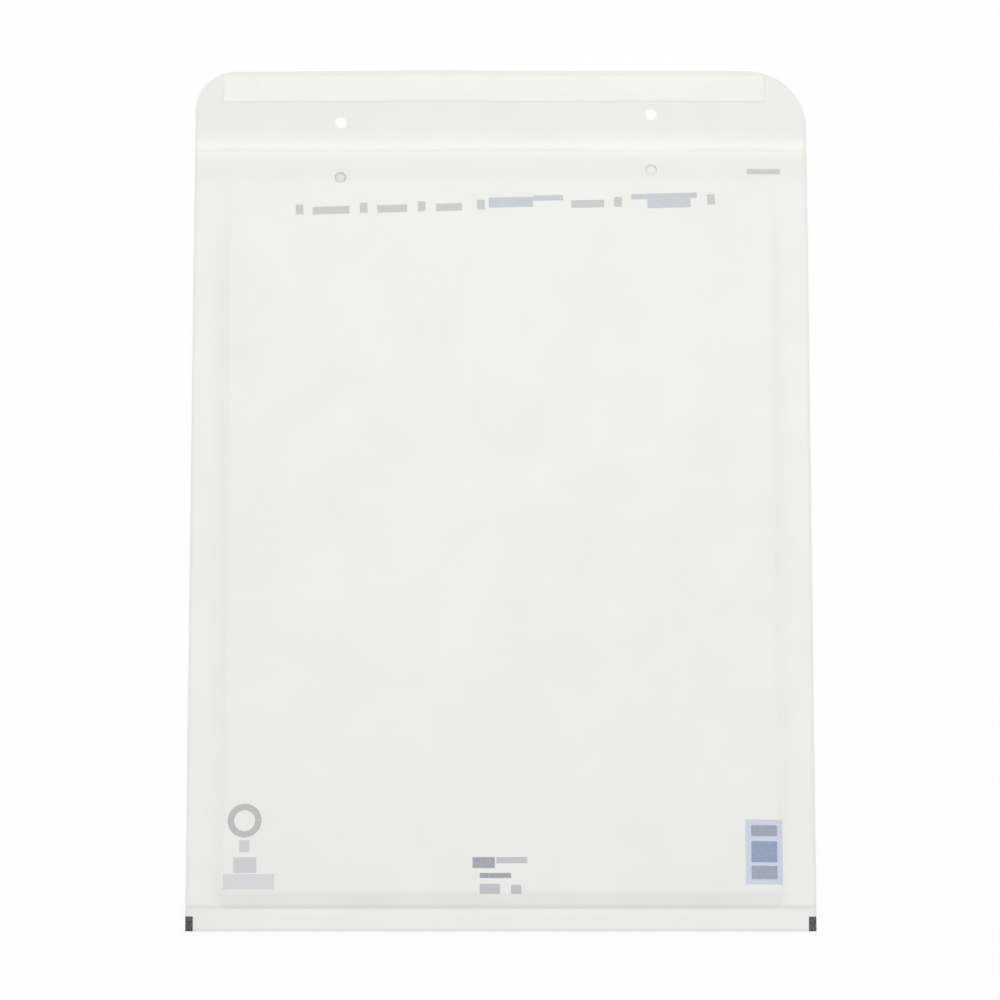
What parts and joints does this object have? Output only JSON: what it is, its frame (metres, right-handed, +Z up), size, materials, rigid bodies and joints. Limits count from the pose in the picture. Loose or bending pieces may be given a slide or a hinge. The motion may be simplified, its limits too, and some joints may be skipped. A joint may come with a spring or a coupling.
{
  "type": "padded envelope",
  "caption": "Flat padded paper envelope with a pocket lined in bubble film, pressed side seals and an open self-seal flap with clip holes, for posting goods.",
  "frame": {"origin": "on the surface the envelope lies on, below the middle of its width and of its whole length with the flap open", "axes": "+X across the width, +Y from the bottom fold towards the flap, +Z up out of the back panel"},
  "size_m": [0.37, 0.53, 0.0129],
  "materials": {
    "white_paper": "matt bleached kraft paper with faint bubble marks and small grey-blue print",
    "bubble_film": "milky translucent polyethylene bubble film",
    "adhesive": "tacky pale hot-melt adhesive",
    "liner_paper": "smooth silicone-coated white paper"
  },
  "bodies": {
    "root": {"paper_cover": "white_paper", "bubble_lining": "bubble_film", "adhesive_strip": "adhesive", "release_liner": "liner_paper"}
  },
  "joints": []
}
